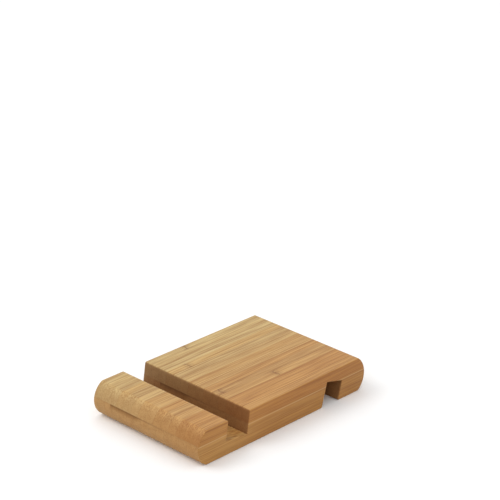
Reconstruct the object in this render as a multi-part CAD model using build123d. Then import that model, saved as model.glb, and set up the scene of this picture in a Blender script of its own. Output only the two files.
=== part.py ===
from build123d import *
import os
from math import cos, radians, tan

# A tablet stand milled out of one board of laminated bamboo.
# X runs across the stand, Y runs from its nose to its tail, and +Z is up.
# The origin is the centre of the underside. Sizes are in millimetres and degrees.

# The board: two plies, one glued on the other, each a row of bamboo strips
# that lie along Y and are glued edge to edge.
stand_depth = 130.0
stand_width = 80.0
board_thickness = 20.0
lower_ply = 12.5
strips_across = 14

# Both ends are planed to an arc. A bulge is how far the tip stands out past
# the corner where the arc meets the top or the underside.
nose_bulge = 6.2
tail_top_bulge = 5.3
tail_bottom_bulge = 4.6

# The tablet slot is cut down through the upper ply and into the lower one.
# It leans back, so its mouth is nearer the tail than its floor is.
lip_length = 22.3
tablet_slot_width = 15.4
tablet_slot_bite = 3.9
tablet_slot_lean = 8.0

# The phone slot is cut up through the lower ply and into the upper one, for
# use with the stand turned over. It leans the same way.
heel_length = 22.1
phone_slot_width = 12.4
phone_slot_bite = 1.9
phone_slot_lean = 15.0

# Sanded edges: along the top and the underside across the stand, and all
# round the two side faces.
top_round = 1.2
bottom_round = 0.8
side_round = 0.6

nose = -stand_depth / 2
tail = stand_depth / 2


def rounded_outline():
    """Side view of the board before its slots are cut, in Y and Z."""
    nose_bottom = (nose + nose_bulge, 0)
    nose_top = (nose + nose_bulge, board_thickness)
    tail_bottom = (tail - tail_bottom_bulge, 0)
    tail_top = (tail - tail_top_bulge, board_thickness)
    outline = Curve() + [
        Line(nose_bottom, tail_bottom),
        ThreePointArc(tail_bottom, (tail, board_thickness / 2), tail_top),
        Line(tail_top, nose_top),
        ThreePointArc(nose_top, (nose, board_thickness / 2), nose_bottom),
    ]
    return make_face(outline)


def tablet_slot():
    """Outline of the tablet slot: its front wall's foot is the corner it turns about."""
    foot_z = lower_ply - tablet_slot_bite
    foot_y = nose + lip_length - (board_thickness - foot_z) * tan(radians(tablet_slot_lean))
    cutter = Rectangle(
        tablet_slot_width,
        2 * board_thickness,
        align=(Align.MIN, Align.MIN),
        rotation=-tablet_slot_lean,
    )
    return Pos(foot_y, foot_z) * cutter


def phone_slot():
    """Outline of the phone slot: its front wall's head is the corner it turns about."""
    lean = radians(phone_slot_lean)
    head_z = lower_ply + phone_slot_bite
    mouth_front_y = tail - heel_length - phone_slot_width / cos(lean)
    cutter = Rectangle(
        phone_slot_width,
        2 * board_thickness,
        align=(Align.MIN, Align.MAX),
        rotation=-phone_slot_lean,
    )
    return Pos(mouth_front_y + head_z * tan(lean), head_z) * cutter


def milled_board():
    """The whole stand as one solid, with its slots cut and its edges sanded."""
    outline = rounded_outline() - tablet_slot() - phone_slot()
    outline = fillet(outline.vertices().group_by(Axis.Y)[-1], top_round)
    outline = fillet(outline.vertices().group_by(Axis.Y)[0], bottom_round)
    board = extrude(Plane.YZ * outline, stand_width / 2, both=True)
    side_edges = board.faces().filter_by(Axis.X).edges()
    return fillet(side_edges, side_round)


def strip_edges(first_width):
    """X of every joint between strips, from the left side to the right side."""
    pitch = stand_width / strips_across
    edges = [-stand_width / 2]
    while edges[-1] < stand_width / 2 - pitch / 100:
        step = first_width if len(edges) == 1 else pitch
        edges.append(min(edges[-1] + step, stand_width / 2))
    return edges


def cut_ply(board, bottom, top, edges, front_name, rear_name):
    """Part one ply into its strips. Each strip is already cut in two by a slot."""
    pieces = {}
    for number, (left, right) in enumerate(zip(edges, edges[1:]), start=1):
        lane = Box(right - left, 2 * stand_depth, top - bottom, align=(Align.MIN, Align.CENTER, Align.MIN))
        strip = board & (Pos(left, 0, bottom) * lane)
        front, rear = strip.solids().sort_by(Axis.Y)
        pieces[f"{front_name}_{number:02d}"] = front
        pieces[f"{rear_name}_{number:02d}"] = rear
    return pieces


def stand_pieces():
    """Every bamboo strip of the stand. The lower ply's joints fall half a strip out of step."""
    board = milled_board()
    pitch = stand_width / strips_across
    upper = cut_ply(board, lower_ply, board_thickness, strip_edges(pitch), "lip_strip", "deck_strip")
    lower = cut_ply(board, 0, lower_ply, strip_edges(pitch / 2), "base_strip", "heel_strip")
    return upper | lower


os.makedirs("parts", exist_ok=True)
for name, piece in stand_pieces().items():
    piece.label = name
    export_step(piece, os.path.join("parts", name + ".step"))
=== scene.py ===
import math
import random

import bpy
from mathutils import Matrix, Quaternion, Vector


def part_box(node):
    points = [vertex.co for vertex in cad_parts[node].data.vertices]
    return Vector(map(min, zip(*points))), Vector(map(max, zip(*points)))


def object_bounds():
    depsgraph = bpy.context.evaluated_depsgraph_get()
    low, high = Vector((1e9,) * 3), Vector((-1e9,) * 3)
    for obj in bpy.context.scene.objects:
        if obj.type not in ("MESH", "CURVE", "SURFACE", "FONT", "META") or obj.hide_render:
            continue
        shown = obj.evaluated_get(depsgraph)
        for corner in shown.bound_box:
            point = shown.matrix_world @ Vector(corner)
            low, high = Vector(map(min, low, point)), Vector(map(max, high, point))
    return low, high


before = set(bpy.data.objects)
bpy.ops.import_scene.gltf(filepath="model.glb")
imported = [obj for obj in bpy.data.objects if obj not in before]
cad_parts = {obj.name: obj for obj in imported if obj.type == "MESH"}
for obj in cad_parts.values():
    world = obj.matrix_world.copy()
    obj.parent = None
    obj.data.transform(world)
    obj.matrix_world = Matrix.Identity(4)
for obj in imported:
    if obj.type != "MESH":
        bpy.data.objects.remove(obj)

cad_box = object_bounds()


# The lower ply. Bamboo strips lie side by side from the nose to the tail and are glued edge
# to edge. The slot in the underside cuts each one into a long base strip and a short heel
# strip. Sawn from steamed bamboo, sanded flush and oiled.

class Wire:
    """What comes out of a node. Python's operators on it add Math nodes to the same finish."""

    def __init__(self, finish, socket):
        self.finish = finish
        self.socket = socket

    def other(self, output):
        """Another output of the same node."""
        return Wire(self.finish, self.socket.node.outputs[output])

    def math(self, operation, *values):
        return self.finish.node("ShaderNodeMath", {"operation": operation}, dict(enumerate(values)))

    def __add__(self, other):
        return self.math("ADD", self, other)

    def __radd__(self, other):
        return self.math("ADD", other, self)

    def __sub__(self, other):
        return self.math("SUBTRACT", self, other)

    def __rsub__(self, other):
        return self.math("SUBTRACT", other, self)

    def __mul__(self, other):
        return self.math("MULTIPLY", self, other)

    def __rmul__(self, other):
        return self.math("MULTIPLY", other, self)

    def __truediv__(self, other):
        return self.math("DIVIDE", self, other)

    def __rtruediv__(self, other):
        return self.math("DIVIDE", other, self)

    def __abs__(self):
        return self.math("ABSOLUTE", self)


class Finish:
    """One material, built node by node around its Principled shader."""

    def __init__(self, name):
        self.material = bpy.data.materials.new(name)
        self.material.use_nodes = True
        self.tree = self.material.node_tree
        self.shader = self.tree.nodes["Principled BSDF"]

    def plug(self, socket, value):
        if isinstance(value, Wire):
            self.tree.links.new(value.socket, socket)
        else:
            socket.default_value = value

    def node(self, kind, settings=None, inputs=None, output=0):
        made = self.tree.nodes.new(kind)
        for key, value in (settings or {}).items():
            setattr(made, key, value)
        for key, value in (inputs or {}).items():
            self.plug(made.inputs[key], value)
        return Wire(self, made.outputs[output])

    def parts(self, vector):
        """The x, y and z of a vector."""
        x = self.node("ShaderNodeSeparateXYZ", None, {"Vector": vector})
        return x, x.other("Y"), x.other("Z")

    def vector(self, x, y, z):
        return self.node("ShaderNodeCombineXYZ", None, {"X": x, "Y": y, "Z": z})

    def noise(self, x, y, z, detail=2.0, roughness=0.5):
        inputs = {"Vector": self.vector(x, y, z), "Scale": 1.0, "Detail": detail, "Roughness": roughness}
        return self.node("ShaderNodeTexNoise", {"noise_dimensions": "3D"}, inputs)

    def fade(self, value, start, end):
        """0 at start, 1 at end and smooth between them."""
        inputs = {"Value": value, "From Min": start, "From Max": end}
        return self.node("ShaderNodeMapRange", {"interpolation_type": "SMOOTHSTEP"}, inputs)

    def blend(self, amount, first, second, kind="MIX"):
        """Colour first turning into colour second, or multiplied by it."""
        settings = {"data_type": "RGBA", "blend_type": kind, "clamp_factor": True}
        return self.node("ShaderNodeMix", settings, {0: amount, 6: first, 7: second}, output=2)


def colour(red, green, blue):
    """A shader colour from the 0 to 255 values of a colour chart."""
    def linear(part):
        part = part / 255
        return part / 12.92 if part <= 0.04045 else ((part + 0.055) / 1.055) ** 2.4
    return (linear(red), linear(green), linear(blue), 1.0)


MM = 1000.0                       # millimetres in a metre
glue_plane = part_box("lip_strip_01")[0].z * MM
strips_across = sum(node.startswith("lip_strip_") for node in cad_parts)
strip_width = (cad_box[1].x - cad_box[0].x) * MM / strips_across

# The bare wood, and what darkens it.
pith = colour(218, 185, 134)      # soft ground between the bundles of fibre
fibre = colour(161, 115, 66)      # the bundles, which run the strip's whole length
scorch = colour(112, 66, 30)      # the dark band where the culm had a knuckle
glue = colour(88, 54, 26)

# Tints laid over the wood.
palest = colour(243, 252, 241)    # the palest strip of a row
reddest = colour(227, 204, 166)   # the reddest one
ginger = colour(255, 242, 222)    # a few strips are warmer than their neighbours
oiled_end = colour(220, 208, 203)
# Painted shade for the cut ends inside the milled slots.
slot_shade = colour(194, 174, 161)
culm_skin = colour(237, 224, 192)  # the outer face of the culm, by the nose
# Painted shade: the side faces turn darker and redder from the tablet slot to the tail.
shaded_skin = colour(229, 209, 170)  # and from the tablet slot to the tail
# Painted shadow below the line between the plies.
shadow_brown = colour(208, 194, 168)

# Bundles, counted to the millimetre across the strip.
bundles_at_pith = 0.8
bundles_at_skin = 1.0             # as many more as this at the skin
bundle_gap_up = 0.9               # mm between them up the strip's height

# Streaks, counted to the millimetre across the grain and along it.
fine_across, fine_along = 2.4, 0.04
streak_across, streak_along = 1.1, 0.02
broad_across, broad_along = 0.3, 0.012
wander_along = 0.018

# Knuckles and glue joints, in millimetres.
knuckle_reach = 150.0             # how far along the culm a strip's knuckle may fall
swelling_reach = 4.5
scar_reach = 0.55
joint_reach = 0.13
slots_reach = 52.0                # from the middle, past both milled slots
# Painted shade: the side faces darken over this stretch along Y.
tail_shade_from, tail_shade_to = -48.0, -10.0  # the stretch along Y where the outer face reddens
dry_from, dry_to = -27.5, 26.0    # the stretch across X where the glue between the plies ran thin
# Painted shadow: a brown band below the ply line.
shadow_stops_at = -5.0                   # where the brown that spreads below it stops
shadow_depth = 3.4
relief_depth = 0.00012            # metres from the hollows of the grain to its ridges


def bamboo(name, left, right, shade, plainness, luck):
    """One strip's finish. left and right are its glued edges in millimetres along X. shade runs
    from 0 for the palest bamboo to 1 for the reddest, and plainness quietens its broad face."""
    finish = Finish(name)
    across_seed, along_seed, up_seed = (luck.uniform(0, 90) for _ in range(3))
    tone = luck.uniform(-1, 1)
    warmth = luck.random() ** 2
    skin_right = luck.random() < 0.5
    knuckle_at = luck.uniform(-knuckle_reach, knuckle_reach)

    where = finish.node("ShaderNodeTexCoord", output="Object")
    x, y, z = (MM * part for part in finish.parts(where))
    facing_x, facing_y, _ = finish.parts(finish.node("ShaderNodeNewGeometry", output="Normal"))
    end_grain = finish.fade(abs(facing_y), 0.35, 0.9)
    strip_face = finish.fade(abs(facing_x), 0.5, 0.95)

    # A knuckle swells the fibres apart and leaves a thin scar across the strip.
    bow = (finish.noise(x * 0.5, along_seed, z * 0.5, 1.0) - 0.5) * 3.0
    from_knuckle = abs(y - knuckle_at + bow)
    swelling = finish.fade(from_knuckle, swelling_reach, 0.5) * (1 - end_grain)
    scar = finish.fade(from_knuckle, scar_reach, 0.1) * (1 - end_grain)
    wriggle = swelling * (finish.noise(x * 1.2, y * 0.4, z * 1.2) - 0.5)

    # The fibres wander a little, so that a cut face follows one for a while and then meets the next.
    sway = finish.noise(across_seed, y * wander_along + along_seed, up_seed, 1.0) - 0.5 + wriggle
    climb = finish.noise(up_seed, y * wander_along + across_seed, along_seed, 1.0) - 0.5 + wriggle
    grain_x = x + sway * 0.9 + across_seed
    grain_z = z + climb * 1.6 + up_seed

    # Bundles of fibre crowd together toward the skin of the culm, and no two are as dark.
    skin = (grain_x - across_seed - left) / strip_width
    if not skin_right:
        skin = 1 - skin
    row = (bundles_at_pith + 0.5 * bundles_at_skin * skin) * skin * strip_width + across_seed
    cells = {"Vector": finish.vector(row, grain_z / bundle_gap_up, 0.0), "Scale": 1.0, "Randomness": 0.95}
    middle = finish.node("ShaderNodeTexVoronoi", {"voronoi_dimensions": "2D", "feature": "F1"}, cells)
    weight, _, _ = finish.parts(middle.other("Color"))
    bundle = finish.fade(middle, 0.42, 0.16) * (0.3 + 0.7 * weight)

    fine = finish.noise(grain_x * fine_across, y * fine_along, grain_z * fine_across, 5.0, 0.65)
    streak = finish.noise(grain_x * streak_across, y * streak_along, grain_z * streak_across, 3.0, 0.6)
    broad = finish.noise(grain_x * broad_across, y * broad_along, grain_z * broad_across)

    long_grain = 0.45 * bundle + 1.5 * (fine - 0.5) + 1.7 * (streak - 0.5) + 0.14 * skin - 0.10 * tone
    cut_grain = 0.24 * bundle + 0.5 * (fine - 0.5) + 0.3 * (streak - 0.5) - 0.02 * tone
    calmer = long_grain * (1 - plainness * strip_face)
    dark = calmer + (cut_grain - calmer) * end_grain + 0.5 * (broad - 0.5) + 0.22
    wood = finish.blend(finish.fade(dark, -0.25, 1.05), pith, fibre)
    wood = finish.blend(0.22 * swelling + 0.45 * scar, wood, scorch)

    # Oil sinks deeper into the cut ends, deepest at both ends of the row, and the cut ends inside
    # the slots get painted shade. A strip's own broad face is the warmer skin of the culm, with painted
    # shade darkening it toward the tail.
    soak = 0.80 + 0.20 * (2 * shade - 1) ** 2
    redness = shade * shade * (3 - 2 * shade)
    shaded_slot_ends = end_grain * finish.fade(abs(y), slots_reach + 3.0, slots_reach)
    tint = [pale + (red - pale) * redness for pale, red in zip(palest, reddest)]
    wood = finish.blend(1.0, wood, tint, "MULTIPLY")
    wood = finish.blend(warmth * (1 - 0.75 * end_grain), wood, ginger, "MULTIPLY")
    wood = finish.blend(end_grain * soak, wood, oiled_end, "MULTIPLY")
    # Painted shade: the cut ends inside the slots are darkened.
    wood = finish.blend(shaded_slot_ends * 0.8, wood, slot_shade, "MULTIPLY")
    # The culm skin's own colour, with painted shade darkening the side faces toward the tail.
    skin_and_shade = finish.blend(finish.fade(y, tail_shade_from, tail_shade_to), culm_skin, shaded_skin)
    wood = finish.blend(strip_face, wood, skin_and_shade, "MULTIPLY")

    # Glue: a hair line at each edge, a line between the plies that darkens where it ran thin,
    # a brown painted shadow below that, and a pale thread of it squeezed out on the side faces.
    edge = 0.5 * (right - left) - abs(x - 0.5 * (left + right))
    edge_line = finish.fade(edge, joint_reach, 0.03) * (1 - strip_face)
    below = glue_plane - z
    dry_start = finish.fade(x, dry_from, dry_from + 1.2)
    thin_glue = dry_start * finish.fade(x, dry_to, -8.0)
    ply_line = finish.fade(abs(below - 0.3), 0.6, 0.2) * (0.3 + 0.7 * thin_glue) * (1 - strip_face)
    squeezed_out = finish.fade(abs(below - 0.5), 0.45, 0.15) * strip_face
    # Painted shadow below the ply line.
    shadow_under_ply = finish.fade(below, shadow_depth, 0.3) * finish.fade(below, -0.1, 0.2) * end_grain
    shadow_under_ply *= dry_start * finish.fade(x, shadow_stops_at + 3.0, shadow_stops_at - 3.0)
    wood = finish.blend(edge_line * 0.3, wood, glue)
    wood = finish.blend(shadow_under_ply, wood, shadow_brown, "MULTIPLY")
    wood = finish.blend(ply_line * 0.35, wood, glue)
    wood = finish.blend(squeezed_out * (0.5 * fine), wood, pith)

    relief = 0.5 * bundle + 0.8 * fine + 0.6 * scar - 1.2 * edge_line - 1.6 * ply_line
    hollows = {"Height": relief, "Strength": 0.25, "Distance": relief_depth}
    bump = finish.node("ShaderNodeBump", None, hollows)
    finish.plug(finish.shader.inputs["Base Color"], wood)
    finish.plug(finish.shader.inputs["Roughness"], 0.46 + 0.16 * fine + 0.20 * end_grain)
    finish.plug(finish.shader.inputs["Normal"], bump)
    finish.plug(finish.shader.inputs["Coat Weight"], 0.08 - 0.08 * end_grain)
    finish.shader.inputs["Specular IOR Level"].default_value = 0.3
    finish.shader.inputs["Coat Roughness"].default_value = 0.35
    return finish.material


def finish_ply(ply, front, rear, shades, plainness, luck):
    """Gives each strip of a ply its finish. The two pieces of one strip share it."""
    for node in sorted(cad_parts):
        if node.startswith(front):
            low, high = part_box(node)
            number = node[len(front):]
            along_row = (0.5 * (low.x + high.x) - cad_box[0].x) / (cad_box[1].x - cad_box[0].x)
            shade = shades[0] + (shades[1] - shades[0]) * along_row
            material = bamboo(ply + number, low.x * MM, high.x * MM, shade, plainness, luck)
            for piece in (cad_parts[node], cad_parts[rear + number]):
                piece.data.materials.clear()
                piece.data.materials.append(material)


finish_ply("lower_ply_", "base_strip_", "heel_strip_", (0.50, 0.64), 0.5, random.Random(31))


# The upper ply. The same strips again, half a strip out of step with the ones below, glued
# down on them. The tablet slot cuts each one into a short lip strip and a long deck strip.

finish_ply("upper_ply_", "lip_strip_", "deck_strip_", (0.0, 1.0), 0.3, random.Random(1979))


# The studio. A pale table top, white walls all round, a broad soft window high on the left, a
# small lamp beside it, and a camera that looks down on the nose and the right side.

table_drop = 0.0001                # metres, so that the underside doesn't flicker through it
bpy.ops.mesh.primitive_plane_add(size=8.0, location=(0, 0, -table_drop))
table = bpy.context.object
table.name = "table_top"
paper = Finish("white_card")
specks = 60.0                      # to the metre
over_table = paper.parts(paper.node("ShaderNodeTexCoord", output="Object"))
speck = paper.noise(*(specks * part for part in over_table))
card = paper.blend(speck, colour(247, 247, 247), colour(251, 251, 251))
paper.plug(paper.shader.inputs["Base Color"], card)
paper.shader.inputs["Roughness"].default_value = 0.9
paper.shader.inputs["Specular IOR Level"].default_value = 0.1
table.data.materials.append(paper.material)

walls = bpy.data.worlds.new("white_walls")
walls.use_nodes = True
light_of_walls = walls.node_tree.nodes["Background"]
light_of_walls.inputs["Color"].default_value = colour(255, 255, 255)
light_of_walls.inputs["Strength"].default_value = 1.0
bpy.context.scene.world = walls


def soft_lamp(name, place, size, power):
    """A square lamp turned to the stand. place and size are in metres, power in watts."""
    lamp = bpy.data.lights.new(name, "AREA")
    lamp.shape = "SQUARE"
    lamp.size = size
    lamp.energy = power
    holder = bpy.data.objects.new(name, lamp)
    holder.location = place
    holder.rotation_mode = "QUATERNION"
    holder.rotation_quaternion = (-Vector(place)).to_track_quat("-Z", "Y")
    bpy.context.scene.collection.objects.link(holder)


soft_lamp("window", (-1.8, -1.6, 2.4), 2.4, 14.0)
soft_lamp("key_lamp", (-0.36, -0.52, 0.72), 0.5, 1.5)

camera_place = Vector((0.6342, -0.6524, 0.4755))
camera_aim = Vector((0.0066, 0.0063, 0.0907))
camera_roll = math.radians(0.81)

lens = bpy.data.cameras.new("camera")
lens.sensor_width = 36.0
lens.lens = 134.2
camera = bpy.data.objects.new("camera", lens)
camera.location = camera_place
camera.rotation_mode = "QUATERNION"
level = (camera_aim - camera_place).to_track_quat("-Z", "Y")
camera.rotation_quaternion = level @ Quaternion((0, 0, 1), camera_roll)
bpy.context.scene.collection.objects.link(camera)
bpy.context.scene.camera = camera
bpy.context.scene.view_settings.view_transform = "Standard"
